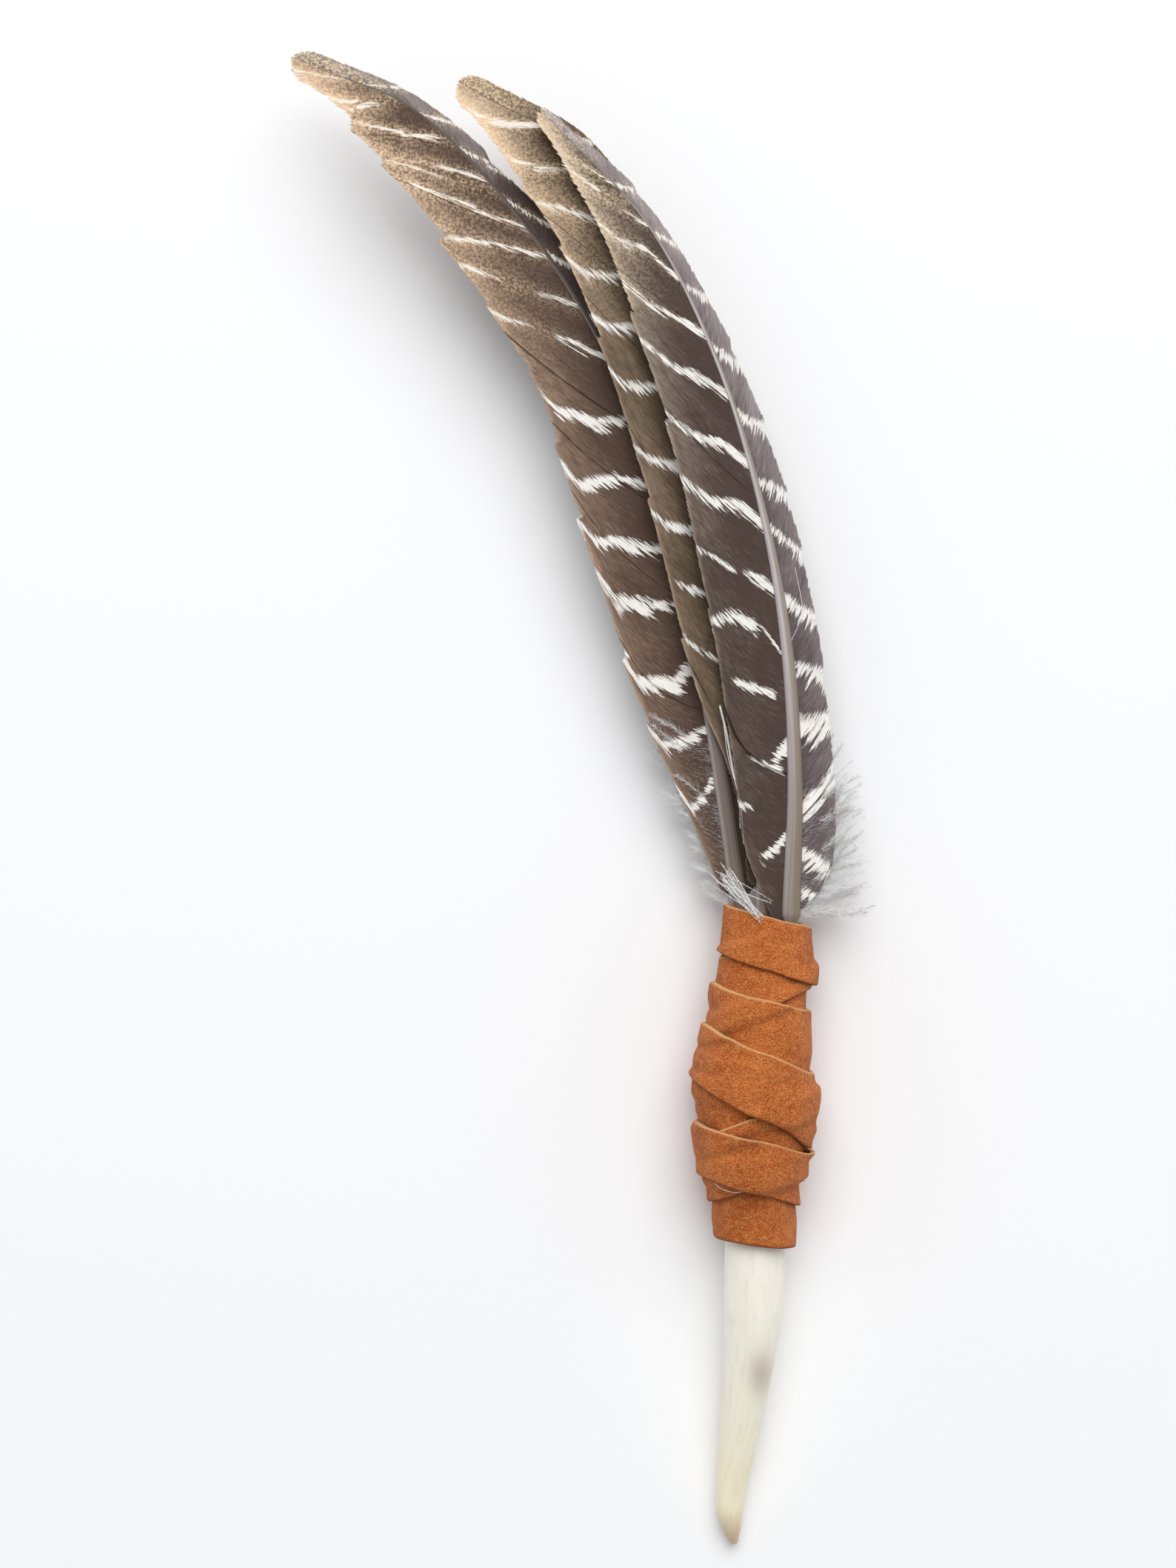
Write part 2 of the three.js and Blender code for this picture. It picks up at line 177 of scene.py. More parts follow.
BARS = {
    "left": {
        "inner": [
            (275, 287, 290, 291, 0, 0.85, 1.6), (261, 269, 277, 279, 0.2, 1, 1.5),
            (241, 254, 274, 278, 0.1, 0.85, 1.6), (226, 240, 254, 258, 0, 0.4, 1.6),
            (222, 234, 252, 258, 0.45, 0.9, 1.4), (208, 224, 240, 243, 0, 0.9, 1.6),
            (198, 210, 221, 224, 0, 0.9, 1.5), (181, 194, 208, 212, 0, 0.35, 1.5),
            (179, 193, 208, 212, 0.72, 1, 1.5), (164, 177, 190, 196, 0.7, 0.97, 1.5),
            (164, 177, 190, 196, 0, 0.45, 2.6), (146, 149, 157, 165, 0, 0.97, 2.8),
            (125, 132, 133, 141, 0.15, 1, 3.2), (106, 111, 115, 123, 0, 1, 3.4),
            (91, 93, 96, 106, 0, 1, 3.8), (74, 70, 71, 82, 0.1, 1, 4),
            (56, 53, 52, 58, 0.05, 1, 2.6), (44, 36, 33, 40, 0.05, 1, 2.6),
        ],
        "outer": [
            (270, 264, 260, 0, 1, 1.4), (252, 248, 243, 0, 1, 1.6), (238, 231, 224, 0, 1, 2),
            (219, 210, 200, 0, 1, 2.4), (200, 191, 182, 0, 1, 2.6), (178, 170, 162, 0, 1, 2.8),
            (156, 148, 140, 0, 1, 3), (134, 126, 118, 0, 1, 3), (112, 104, 98, 0, 1, 3),
            (90, 84, 78, 0, 1, 3), (68, 63, 58, 0, 1, 3), (46, 42, 38, 0, 1, 3),
        ],
    },
    "middle": {
        "inner": [
            (241, 251, 259, 262, 0, 0.85, 3), (218, 228, 243, 247, 0.2, 0.9, 2.4),
            (200, 208, 220, 226, 0.15, 0.95, 2.6), (187, 190, 195, 202, 0.1, 1, 2.6),
            (171, 174, 178, 183, 0, 1, 2.6), (154, 156, 159, 165, 0, 1, 2.8),
            (130, 132, 137, 141, 0, 1, 2.4), (110, 113, 117, 122, 0.3, 1, 2),
            (92, 94, 99, 102, 0.5, 0.9, 1.5), (71, 73, 81, 85, 0.5, 0.95, 1.5),
        ],
        "outer": [
            (236, 230, 226, 0, 1, 2), (214, 208, 203, 0, 1, 3), (192, 186, 180, 0, 1, 3),
            (168, 161, 154, 0, 1, 3), (146, 139, 132, 0, 1, 3), (122, 115, 108, 0, 1, 3),
            (98, 91, 85, 0, 1, 3), (74, 68, 63, 0, 1, 3), (50, 45, 41, 0, 1, 3),
        ],
    },
    "right": {
        "inner": [
            (219, 228, 234, 240, 0, 0.35, 1.2), (213, 218, 226, 233, 0.45, 1, 1.5),
            (203, 213, 222, 230, 0, 0.25, 1.3), (185, 198, 204, 214, 0, 1, 2.4),
            (169, 176, 184, 194, 0, 1, 2.3), (150, 158, 164, 176, 0, 1, 2.6),
            (130, 138, 143, 152, 0, 1, 2.8), (112, 120, 123, 132, 0, 1, 3.1),
            (91, 97, 104, 111, 0.55, 1, 1.6), (93, 99, 104, 111, 0, 0.38, 2.8),
            (73, 84, 89, 88, 0.38, 1, 3.2), (73, 84, 89, 88, 0, 0.45, 0.9),
            (64, 65, 68, 71, 0.25, 0.82, 2), (52, 46, 44, 44, 0, 0.35, 3.2),
            (41, 43, 46, 50, 0.2, 0.7, 1.2), (27, 21, 17, 20, 0.05, 0.72, 2.2),
            (30, 30, 31, 33, 0.78, 1, 2),
        ],
        "outer": [
            (219, 215, 212, 0, 1, 2), (201, 198, 195, 0, 1, 2.4), (184, 181, 178, 0, 1, 3),
            (165, 161, 158, 0, 1, 3.4), (146, 141, 139, 0, 1, 4), (125, 123, 118, 0, 1, 3.8),
            (113, 107, 102, 0, 1, 3.8), (93, 88, 84, 0, 1, 4.2), (72, 70, 68, 0, 1, 4.4),
            (55, 54, 55, 0, 1, 6.4), (30, 34, 41, 0.15, 1, 6), (20, 17, 13, 0, 0.95, 4.6),
            (9, 7, 5, 0, 1, 3),
        ],
    },
}

# Colours of the barbs: dark, light and speckle; the vanes' shade value, which is partly painted
# shade and light, mixes the first two.
TONES = {
    "left": {"inner": (0x503D33, 0xE0BEA2, 0xF6D6AE), "outer": (0x4A3B36, 0xC9BCBA, 0xF2D8B0)},
    "middle": {"inner": (0x50402F, 0xE8CAAE, 0xFADAB0), "outer": (0x5C4A3C, 0xDCC6AE, 0xF2D6AA)},
    "right": {"inner": (0x4B3B35, 0xE2CDB8, 0xF4DAB0), "outer": (0x564848, 0xD2C6C6, 0xE8D6C0)},
}

# Where each feather turns tan, as a share of its length.
TAN = {"left": (0.48, 0.9), "middle": (0.6, 0.95), "right": (0.66, 0.94)}

# Shafts: pale flank, olive flank and deep colour; where they darken, and how much.
QUILL_TONES = {
    "left": (0x8C8286, 0x74686A, 0x54463E),
    "middle": (0xB3AAA2, 0x8E8272, 0x4A3B30),
    "right": (0xD8D0D4, 0xA59A90, 0x6A5C4C),
}
QUILL_DUSK = {"left": (60, 150, 1), "middle": (60, 150, 1), "right": (175, 235, 0.7)}

# Down: where its plumes are rooted, how many, their lengths and angles at both ends of
# that stretch, how far they sink below the vane and how dark they are.
DOWN = {
    "left": {"side": "inner", "from": 3, "to": 48, "count": 84, "length": (9.5, 25),
             "angle": (66, 52), "drop": 1.0, "dark": (-0.5, 0.5)},
    "right": {"side": "outer", "from": 0, "to": 36, "count": 92, "length": (23, 20),
              "angle": (86, 46), "drop": 1.5, "dark": (-1.0, 0.6)},
}
# The lock of down over the mouth of the wrap.
TUFT = {"root": (-9.5, 12.5, 18), "ends": [(0.5, 0.4, 25.6), (0.9, 0.8, 26), (4.5, 5, 24.5)],
        "count": 22, "length": 12.0, "spread": 0.8, "barbule": 0.7}
STRAYS = [  # paths of loose barbs, and how many lie along each
    ([(-10.5, 61, 21.5), (-8.4, 52, 22), (-6.9, 43, 22), (-4.6, 33, 21.6), (-3.6, 22, 21)], 4),
    ([(-9.6, 56, 21.5), (-8.2, 46, 21.6), (-5.4, 35, 21.4), (-4.8, 26, 21)], 2),
    ([(10.6, 100, 25), (12.5, 87, 26), (9.5, 79, 26)], 1),
    ([(-12.7, -71.6, 26.5), (-11.6, -74.8, 27.2), (-7.4, -76.4, 29.4), (-4.4, -76.2, 30.2)], 1),
]
PLUME_STEPS = 14
PLUME_RADIUS = 0.05
STRAY_RADIUS = 0.06
BARBULE_STEP = 0.2    # gap between the barbules of a plume
BARBULE = 3.2         # the longest of them
BARBULE_RADIUS = 0.032

# ---- Antler: (x, y, z, radius) from the sawn butt to the tip ----

ANTLER = [
    (0.4, -36, 13.7, 8.3), (-0.2, -60, 13.7, 8.6), (-0.2, -95, 13.6, 8.6),
    (-0.6, -112, 12.4, 8.4), (-1.5, -124, 11.2, 7.5), (-3, -138, 9.4, 6.6),
    (-4.7, -152, 7.2, 5.5), (-6.3, -164, 5.3, 4.5), (-6.9, -172, 4.4, 3.8),
    (-6.3, -178, 3.7, 2.5), (-5.5, -181.5, 3.3, 0.9),
]
STAIN_PLACE = (1.5, -130)  # across the tine and along it
STAIN_SIZE = (4, 7)

# ---- Wrap ----

STRIP = 1.5           # thickness of the suede
EDGE_WAVER = 0.35     # how unevenly its edges run
DENT = 0.14           # depth of the dents in its face
DRAPE = 6             # cells over which a band bridges the step at an edge under it
CORE = [  # y, x, underside, half width, half height
    (6, 2.4, 11, 9.9, 5.7), (-13, 2.2, 8.9, 11.4, 7.9), (-22, 1, 7.2, 11.8, 9.6),
    (-30, 1.6, 5.6, 11.2, 11), (-38, 0.7, 4.6, 12.4, 11.7), (-45, -0.9, 4.6, 12.8, 11.7),
    (-54, -1.5, 4.6, 12.8, 11.7), (-60, 0.2, 4.6, 12.9, 11.7), (-69, -1, 4.6, 10.3, 11.4),
    (-76, -0.8, 4.6, 10.2, 10.8), (-86, -0.4, 4.6, 10.6, 10.3), (-96, 0, 4.6, 10.2, 9.9),
]
CORE_SQUARENESS = 2.3
CORE_FLAT = 0.93
BANDS = [  # top and bottom edge at the left and right side, and the order of winding
    ((4.2, -2), (-9, -19), 2), ((-10.5, -1.5), (-31, -19.5), 1),
    ((-18, -26), (-37, -44), 2), ((-32, -17), (-46, -50), 0),
    ((-29.5, -44), (-44.5, -65.5), 4), ((-39, -47), (-64, -50.5), 2),
    ((-47.5, -52), (-71, -68), 0), ((-57.5, -66.5), (-72.5, -81.5), 4),
    ((-61.3, -49.5), (-80.5, -71.5), 3), ((-72.5, -70), (-91, -93.5), 0),
]


# ======== Small tools ========

def rgb(code):
    """A linear colour with alpha from a six-digit sRGB code."""
    parts = [((code >> shift) & 255) / 255 for shift in (16, 8, 0)]
    linear = [c / 12.92 if c <= 0.04045 else ((c + 0.055) / 1.055) ** 2.4 for c in parts]
    return (*linear, 1.0)


def smoothstep(low, high, value):
    part = np.clip((value - low) / (high - low), 0, 1)
    return part * part * (3 - 2 * part)


def along_list(values, part):
    """Values spread evenly over 0..1, read with straight lines between them."""
    return np.interp(part, np.linspace(0, 1, len(values)), values)


def rounded_list(values, part, reach):
    """The same list with its corners rounded off, over a reach to both sides."""
    offsets = np.linspace(-reach, reach, 7)
    return sum(along_list(values, part + offset) for offset in offsets) / len(offsets)


def waves(where, lengths, rng):
    """A gentle sum of sines of the given wavelengths, from -1 to 1."""
    phases = rng.uniform(0, 2 * math.pi, len(lengths))
    terms = [np.sin(2 * math.pi * where / length + phase)
             for length, phase in zip(lengths, phases)]
    return sum(terms) / len(terms)


class Route:
    """A centripetal Catmull-Rom curve through points, measured along its length."""

    STEPS = 60

    def __init__(self, points):
        knots = [np.array(p, float) for p in points]
        knots = [2 * knots[0] - knots[1], *knots, 2 * knots[-1] - knots[-2]]
        spans = [self.span(*knots[i:i + 4]) for i in range(len(knots) - 3)]
        self.points = np.vstack([*spans, knots[-2]])
        steps = np.linalg.norm(np.diff(self.points, axis=0), axis=1)
        self.marks = np.concatenate([[0], np.cumsum(steps)])
        self.length = self.marks[-1]

    def span(self, before, start, end, after):
        gaps = [np.linalg.norm(b - a) ** 0.5
                for a, b in ((before, start), (start, end), (end, after))]
        leave = (start - before) / gaps[0] - (end - before) / (gaps[0] + gaps[1])
        leave = (leave + (end - start) / gaps[1]) * gaps[1]
        arrive = (end - start) / gaps[1] - (after - start) / (gaps[1] + gaps[2])
        arrive = (arrive + (after - end) / gaps[2]) * gaps[1]
        t = np.linspace(0, 1, self.STEPS, endpoint=False)[:, None]
        return (start + leave * t + (3 * (end - start) - 2 * leave - arrive) * t ** 2
                + (2 * (start - end) + leave + arrive) * t ** 3)

    def at(self, distance):
        columns = range(self.points.shape[1])
        return np.stack(
            [np.interp(distance, self.marks, self.points[:, k]) for k in columns], -1)

    def tangent(self, distance):
        middle = np.clip(distance, 0.5, self.length - 0.5)
        step = self.at(middle + 0.5) - self.at(middle - 0.5)
        return step / np.linalg.norm(step, axis=-1, keepdims=True)


def show(thing):
    bpy.context.scene.collection.objects.link(thing)


class Shell:
    """Gathers closed grids of points into one mesh, with a value per point."""

    def __init__(self):
        self.points, self.faces, self.values = [], [], {}
        self.count = 0

    def grid(self, sections, looped=False, **values):
        """Joins rings of points, (..., rings, k, 3), and closes the ends if not looped."""
        shape = sections.shape[:-1]
        k = shape[-1]
        index = self.count + np.arange(np.prod(shape)).reshape(-1, *shape[-2:])
        after = np.roll(index, -1, axis=1)
        rows, ends = (index, after) if looped else (index[:, :-1], after[:, :-1])
        quads = [rows, np.roll(rows, -1, 2), np.roll(ends, -1, 2), ends]
        self.faces.append(np.stack(quads, -1).reshape(-1, 4))
        if not looped:
            half = np.arange(k // 2 - 1)
            for ring, turn in ((index[:, 0], 1), (index[:, -1], -1)):
                cap = [ring[:, half], ring[:, k - 1 - half],
                       ring[:, k - 2 - half], ring[:, half + 1]]
                self.faces.append(np.stack(cap, -1).reshape(-1, 4)[:, ::turn])
        self.points.append(sections.reshape(-1, 3))
        for name, value in values.items():
            self.values.setdefault(name, []).append(np.broadcast_to(value, shape).ravel())
        self.count += index.size

    def strands(self, paths, radii, dark):
        """Four-sided strands along paths, (count, steps, 3)."""
        shape = paths.shape[:2]
        ahead = np.gradient(paths, axis=1)
        ahead /= np.linalg.norm(ahead, axis=2, keepdims=True) + 1e-9
        side = np.cross(ahead, (0.0, 0.0, 1.0))
        side /= np.linalg.norm(side, axis=2, keepdims=True) + 1e-9
        up = np.cross(side, ahead)
        corners = np.stack([side, up, -side, -up], 2)
        thick = np.broadcast_to(radii, shape)[:, :, None, None]
        sections = paths[:, :, None, :] + corners * thick
        self.grid(sections, dark=np.broadcast_to(dark, shape)[:, :, None])

    def build(self, name, material, slot, *nodes):
        """Makes the smooth-shaded piece, which stands for the CAD nodes."""
        mesh = bpy.data.meshes.new(name)
        points = (np.vstack(self.points) + MOUTH) * MM
        faces = facing_out(points, np.vstack(self.faces))
        mesh.vertices.add(len(points))
        mesh.vertices.foreach_set("co", points.ravel())
        mesh.loops.add(faces.size)
        mesh.loops.foreach_set("vertex_index", faces.ravel())
        mesh.polygons.add(len(faces))
        mesh.polygons.foreach_set("loop_start", np.arange(0, faces.size, 4))
        mesh.polygons.foreach_set("use_smooth", np.full(len(faces), True))
        for key, parts in self.values.items():
            layer = mesh.attributes.new(key, "FLOAT", "POINT")
            layer.data.foreach_set("value", np.concatenate(parts).astype(np.float32))
        mesh.update(calc_edges=True)
        mesh.validate()
        piece = bpy.data.objects.new(name, mesh)
        show(piece)
        mesh.materials.append(material)
        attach(piece, "root")
        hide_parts(*nodes)


def facing_out(points, faces):
    """The faces, turned round if the volume that they enclose comes out negative."""
    a, b, c, d = (points[faces[:, k]] for k in range(4))
    volume = np.sum(a * (np.cross(b, c) + np.cross(c, d)))
    return faces if volume > 0 else faces[:, [0, 3, 2, 1]]


# ======== Materials ========

def node(tree, kind, inputs=None, **settings):
    made = tree.nodes.new("ShaderNode" + kind)
    for key, value in settings.items():
        setattr(made, key, value)
    for key, value in (inputs or {}).items():
        if isinstance(value, bpy.types.NodeSocket):
            tree.links.new(value, made.inputs[key])
        else:
            made.inputs[key].default_value = value
    return made


def new_material(name, **constants):
    material = bpy.data.materials.new(name)
    material.use_nodes = True
    shader = material.node_tree.nodes["Principled BSDF"]
    for key, value in constants.items():
        shader.inputs[key.replace("_", " ")].default_value = value
    return material, material.node_tree, shader


def mix(tree, factor, a, b):
    return node(tree, "Mix", {0: factor, 6: a, 7: b}, data_type="RGBA").outputs[2]


def tint(tree, base, value, low, high, most, code):
    """Lays a colour over the base, up to most, as a value goes from low to high."""
    return mix(tree, span(tree, value, low, high, 0.0, most), base, rgb(code))


def paint(tree, shader, base):
    tree.links.new(base, shader.inputs["Base Color"])


def calc(tree, operation, *values):
    return node(tree, "Math", dict(enumerate(values)), operation=operation).outputs[0]


def span(tree, value, low, high, new_low=0.0, new_high=1.0):
    return node(tree, "MapRange", {0: value, 1: low, 2: high, 3: new_low, 4: new_high},
                interpolation_type="SMOOTHSTEP").outputs[0]


def swing(tree, noise_value, size):
    """Noise brought to the range from -size to size."""
    return span(tree, noise_value, 0.25, 0.75, -size, size)


def read(tree, name):
    return node(tree, "Attribute", attribute_name=name).outputs["Fac"]


def object_place(tree):
    return node(tree, "TexCoord").outputs["Object"]


def stretched(tree, across, wide, along, long):
    """Coordinates in which noise is drawn out along the fibres."""
    places = {0: calc(tree, "MULTIPLY", across, wide), 1: calc(tree, "MULTIPLY", along, long)}
    return node(tree, "CombineXYZ", places).outputs[0]


def grain(tree, where, scale, detail=3.0, roughness=0.55):
    return node(tree, "TexNoise", {"Vector": where, "Scale": scale, "Detail": detail,
                                   "Roughness": roughness}).outputs[0]


def bump(tree, shader, height, strength, depth):
    made = node(tree, "Bump", {"Strength": strength, "Distance": depth, "Height": height})
    tree.links.new(made.outputs[0], shader.inputs["Normal"])


def barb_material(name, dark, light, tan):
    """Barbs: streaked along their length, with tan speckles and frayed pale bars, over a
    dark-to-light tone that is partly painted shade and light.
    """
    material, tree, shader = new_material(name, Roughness=0.62, Sheen_Weight=0.08,
                                          Specular_IOR_Level=0.18)
    along, out = read(tree, "along"), read(tree, "out")
    shade, bars, speckle = read(tree, "shade"), read(tree, "bar"), read(tree, "speckle")
    streak = grain(tree, stretched(tree, along, 1.0, out, 0.12), 2.0, 3.0)
    hair = grain(tree, stretched(tree, along, 1.0, out, 0.05), 4.6, 2.0)
    blotch = grain(tree, stretched(tree, along, 1.0, out, 0.6), 0.09)
    lines = calc(tree, "ADD", swing(tree, streak, 0.09), swing(tree, hair, 0.09))
    lined = calc(tree, "ADD", calc(tree, "ADD", shade, lines), swing(tree, blotch, 0.07))
    # Dark to light by the shade value: partly the barbs' own colour, partly painted shade and
    # light.
    base = mix(tree, span(tree, lined, 0, 1), rgb(dark), rgb(light))
    spots = grain(tree, object_place(tree), 1300.0, 3.0, 0.7)
    spots = span(tree, spots, 0.43, 0.6, 0.0, 0.9)
    base = mix(tree, calc(tree, "MULTIPLY", spots, speckle), base, rgb(tan))
    frays = calc(tree, "ADD", swing(tree, streak, 0.44), swing(tree, hair, 0.24))
    level = calc(tree, "MULTIPLY_ADD", frays, span(tree, bars, 0.0, 0.3), bars)
    pale = mix(tree, span(tree, hair, 0.25, 0.75), rgb(0xEEE6DC), rgb(0xFFFEFB))
    pale = mix(tree, calc(tree, "MULTIPLY", speckle, 0.5), pale, rgb(0xFCF0D8))
    base = mix(tree, span(tree, level, 0.36, 0.72), base, pale)
    paint(tree, shader, base)
    bump(tree, shader, calc(tree, "ADD", streak, hair), 0.3, 0.0003)
    return material


def quill_material(name, pale, olive, deep):
    """A shaft: pale on one flank, olive on the other and brown towards its foot."""
    material, tree, shader = new_material(name, Roughness=0.42, Specular_IOR_Level=0.45)
    around, along = read(tree, "around"), read(tree, "along")
    lines = grain(tree, stretched(tree, around, 9.0, along, 0.02), 1.0, 4.0, 0.6)
    base = mix(tree, span(tree, around, -0.25, 0.3), rgb(pale), rgb(olive))
    base = mix(tree, span(tree, along, 60, 170, 0.75, 0.0), base, rgb(0x84725E))
    base = tint(tree, base, lines, 0.35, 0.7, 0.5, deep)
    base = mix(tree, read(tree, "dusk"), base, rgb(deep))
    base = mix(tree, span(tree, around, -0.75, -0.4, 0.6, 0.0), base, rgb(0xC0B6B4))
    paint(tree, shader, base)
    bump(tree, shader, lines, 0.25, 0.0002)
    return material


def suede_material():
    """Suede: a napped face, a pale cut edge above and, below, painted shadow of the gap under each
    band.
    """
    material, tree, shader = new_material("suede", Roughness=0.95, Sheen_Weight=0.1,
                                          Sheen_Roughness=0.5, Specular_IOR_Level=0.15)
    place = object_place(tree)
    nap = grain(tree, place, 2400.0, 3.0, 0.8)
    tuft = grain(tree, place, 520.0, 3.0, 0.6)
    patch = grain(tree, place, 75.0, 2.0, 0.5)
    base = mix(tree, span(tree, patch, 0.3, 0.7), rgb(0xB4561E), rgb(0xD27232))
    base = tint(tree, base, tuft, 0.35, 0.7, 0.5, 0xE4904C)
    base = tint(tree, base, nap, 0.5, 0.62, 0.75, 0x86380F)
    base = tint(tree, base, nap, 0.48, 0.36, 0.6, 0xF4B070)
    base = mix(tree, read(tree, "cut"), base, rgb(0xE8B67C))
    # Painted shadow: dark brown along each band's lower edge, where the gap under it lies in
    # shade.
    base = mix(tree, read(tree, "hem"), base, rgb(0x6A2C0C))
    paint(tree, shader, base)
    height = calc(tree, "ADD", nap, calc(tree, "MULTIPLY", tuft, 1.5))
    bump(tree, shader, height, 0.8, 0.0006)
    return material


def antler_material():
    """Antler: ivory with fibres along it, a grey stain and a tan tip."""
    material, tree, shader = new_material("antler", Roughness=0.34, Specular_IOR_Level=0.5,
                                          Subsurface_Weight=0.15, Subsurface_Scale=0.002)
    along, around = read(tree, "along"), read(tree, "around")
    where = stretched(tree, around, 6.0, along, 0.045)
    fibre = grain(tree, where, 2.2, 5.0, 0.65)
    cloud = grain(tree, where, 0.5, 2.0)
    base = mix(tree, span(tree, along, 120, 175), rgb(0xFFFAEC), rgb(0xFFF5D6))
    base = tint(tree, base, fibre, 0.45, 0.75, 0.32, 0xDCCDAC)
    base = tint(tree, base, cloud, 0.5, 0.8, 0.16, 0xCFBF9F)
    base = mix(tree, calc(tree, "MULTIPLY", read(tree, "stain"), 0.6), base, rgb(0xAB9C84))
    base = tint(tree, base, along, 168, 181, 0.75, 0xC2A47C)
    paint(tree, shader, base)
    tree.links.new(span(tree, fibre, 0.3, 0.7, 0.28, 0.45), shader.inputs["Roughness"])
    bump(tree, shader, fibre, 0.2, 0.0003)
    return material


def down_material():
    material, tree, shader = new_material("down", Roughness=0.85, Sheen_Weight=0.9,
                                          Specular_IOR_Level=0.2)
    paint(tree, shader, mix(tree, read(tree, "dark"), rgb(0xFFFFFF), rgb(0xA89A8E)))
    return material


def glue_material():
    material, tree, shader = new_material("dried_glue", Roughness=0.35)
    cloud = grain(tree, object_place(tree), 400.0)
    tone = span(tree, cloud, 0.3, 0.7)
    paint(tree, shader, mix(tree, tone, rgb(0xC9A35C), rgb(0xE6CF9A)))
    bump(tree, shader, cloud, 0.4, 0.0005)
    return material


def floor_material():
    return new_material("pale_floor", Base_Color=rgb(0xFCFCFD), Roughness=0.9,
                        Specular_IOR_Level=0.1)[0]


# ======== Feathers ========

def barb_number(rows):
    return np.floor((rows - rows.min()) / (2 * ROW)).astype(int)


class Feather:
    """One feather's shaft, and the surface that its barbs lie in."""

    def __init__(self, name):
        self.name = name
        self.spec = FEATHERS[name]
        self.rng = np.random.default_rng([SEED, sum(map(ord, name))])
        plan = np.array(self.spec["shaft"], float)
        runs = np.concatenate([[0], np.cumsum(np.hypot(*np.diff(plan, axis=0).T))])
        heights = self.spec["height"] + FEATHER_SLOPE * runs + FEATHER_CURL * runs ** 2
        shown = np.column_stack([plan, heights])
        self.visible = Route(shown)
        self.whole = Route([*self.spec["quill"], *shown])
        self.length = self.visible.length
        self.hidden = self.whole.length - self.length

    def radius(self, distance):
        return along_list(SHAFT_TAPER, distance / self.length)

    def width(self, side, place):
        """Width of the vane beside a place on the shaft, rounded off past its end."""
        full = rounded_list(self.spec[side], np.minimum(place / self.length, 1), 0.03)
        for notch, step in self.spec["notches"][side]:
            past = place - notch
            full = full + 0.5 * step * np.sign(past) * np.exp(-np.abs(past) / NOTCH_FADE)
        past = np.clip((place - self.length) / self.spec["tip"], 0, 1)
        return np.maximum(full, 1) * np.sqrt(1 - past ** 2)

    def plan(self, side, place, beside):
        """Points beside the shaft, which runs straight on past its end."""
        hand = 1 if side == "inner" else -1
        centre = self.visible.at(place)
        ahead = self.visible.tangent(place)
        past = np.maximum(place - self.length, 0) + np.minimum(place, 0)
        level = ahead[..., :2] / np.linalg.norm(ahead[..., :2], axis=-1, keepdims=True)
        across = hand * np.stack([-level[..., 1], level[..., 0], 0 * level[..., 0]], -1)
        return centre + ahead * past[..., None] + across * beside[..., None]

    def leaning(self, side, rows, turned):
        """Angles between barbs and shaft at even steps along each barb, and that step."""
        part = rows / self.length
        fan = np.clip((rows - self.length) / FAN, 0, 1)
        angle = along_list(BARB_ANGLES[side], part)
        bend = along_list(BARB_BEND[side], part)
        usual = self.width(side, rows) / np.sin(np.radians(angle - bend * 0.4))
        reach = np.maximum(usual, self.spec["tip"] + 1) * 2.6
        share = np.linspace(0, 1, BARB_STEPS) * (reach / usual)[:, None]
        turn = angle[:, None] - bend[:, None] * np.minimum(share, 1.2) ** 1.3
        turn = turn - turned[:, None] * smoothstep(0.3, 1, share)
        turn = np.radians(np.maximum(turn, 7) * (1 - fan)[:, None])
        return turn, reach[:, None] / (BARB_STEPS - 1)

    def crossing(self, side, place, beside):
        """How many steps along each barb it meets the edge of the vane."""
        width = self.width(side, place)
        outside = (beside >= width) | (place >= self.length + self.spec["tip"])
        last = np.where(outside.any(axis=1), outside.argmax(axis=1), BARB_STEPS - 1)
        before = np.maximum(last - 1, 0)
        each = np.arange(len(place))
        inner, outer = (width - beside)[each, before], (beside - width)[each, last]
        return before + np.clip(inner / (inner + outer + 1e-9), 0, 1)

    def barbs(self, side, rows, columns, turned):
        """Points along curved barbs rooted at rows, out to the edge of the vane."""
        turn, step = self.leaning(side, rows, turned)
        root = np.minimum(rows, self.length)[:, None]
        place = root + np.cumsum(np.cos(turn) * step, axis=1) - np.cos(turn[:, :1]) * step
        beside = np.cumsum(np.sin(turn) * step, axis=1) - np.sin(turn[:, :1]) * step
        end = self.crossing(side, place, beside) + self.hair_length(side, rows) / step[:, 0]
        start = 0.6 * self.radius(rows) / np.maximum(np.sin(turn[:, 0]), 0.5) / step[:, 0]
        where = start[:, None] + (end - start)[:, None] * columns
        where = np.clip(where, 0, BARB_STEPS - 1.001)
        low = where.astype(int)
        blend = where - low
        each = np.arange(len(rows))[:, None]
        place, beside = (line[each, low] * (1 - blend) + line[each, low + 1] * blend
                         for line in (place, beside))
        return place, beside, where * step

    def hair_length(self, side, rows):
        """How far each barb ends past the edge of the vane or short of it."""
        rng = np.random.default_rng([SEED, len(side), len(self.name)])
        barb = barb_number(rows)
        return rng.normal(0, RAGGED, barb.max() + 2)[barb]

    def surface(self, side, place, beside, share):
        """The vane's upper surface: cambered, with a curled edge and gentle swells."""
        points = self.plan(side, place, beside)
        fan = np.clip(1 - (place - self.length) / FAN, 0, 1)
        rng = np.random.default_rng([SEED + 1, len(side), len(self.name)])
        swell = 0.5 * waves(place, (46.0, 27.0), rng) * smoothstep(0.25, 1, share)
        curl = EDGE_CURL[side] * smoothstep(0.72, 1.05, share)
        points[..., 2] += CAMBER[side] * beside ** 2 + (curl + swell) * fan
        return points


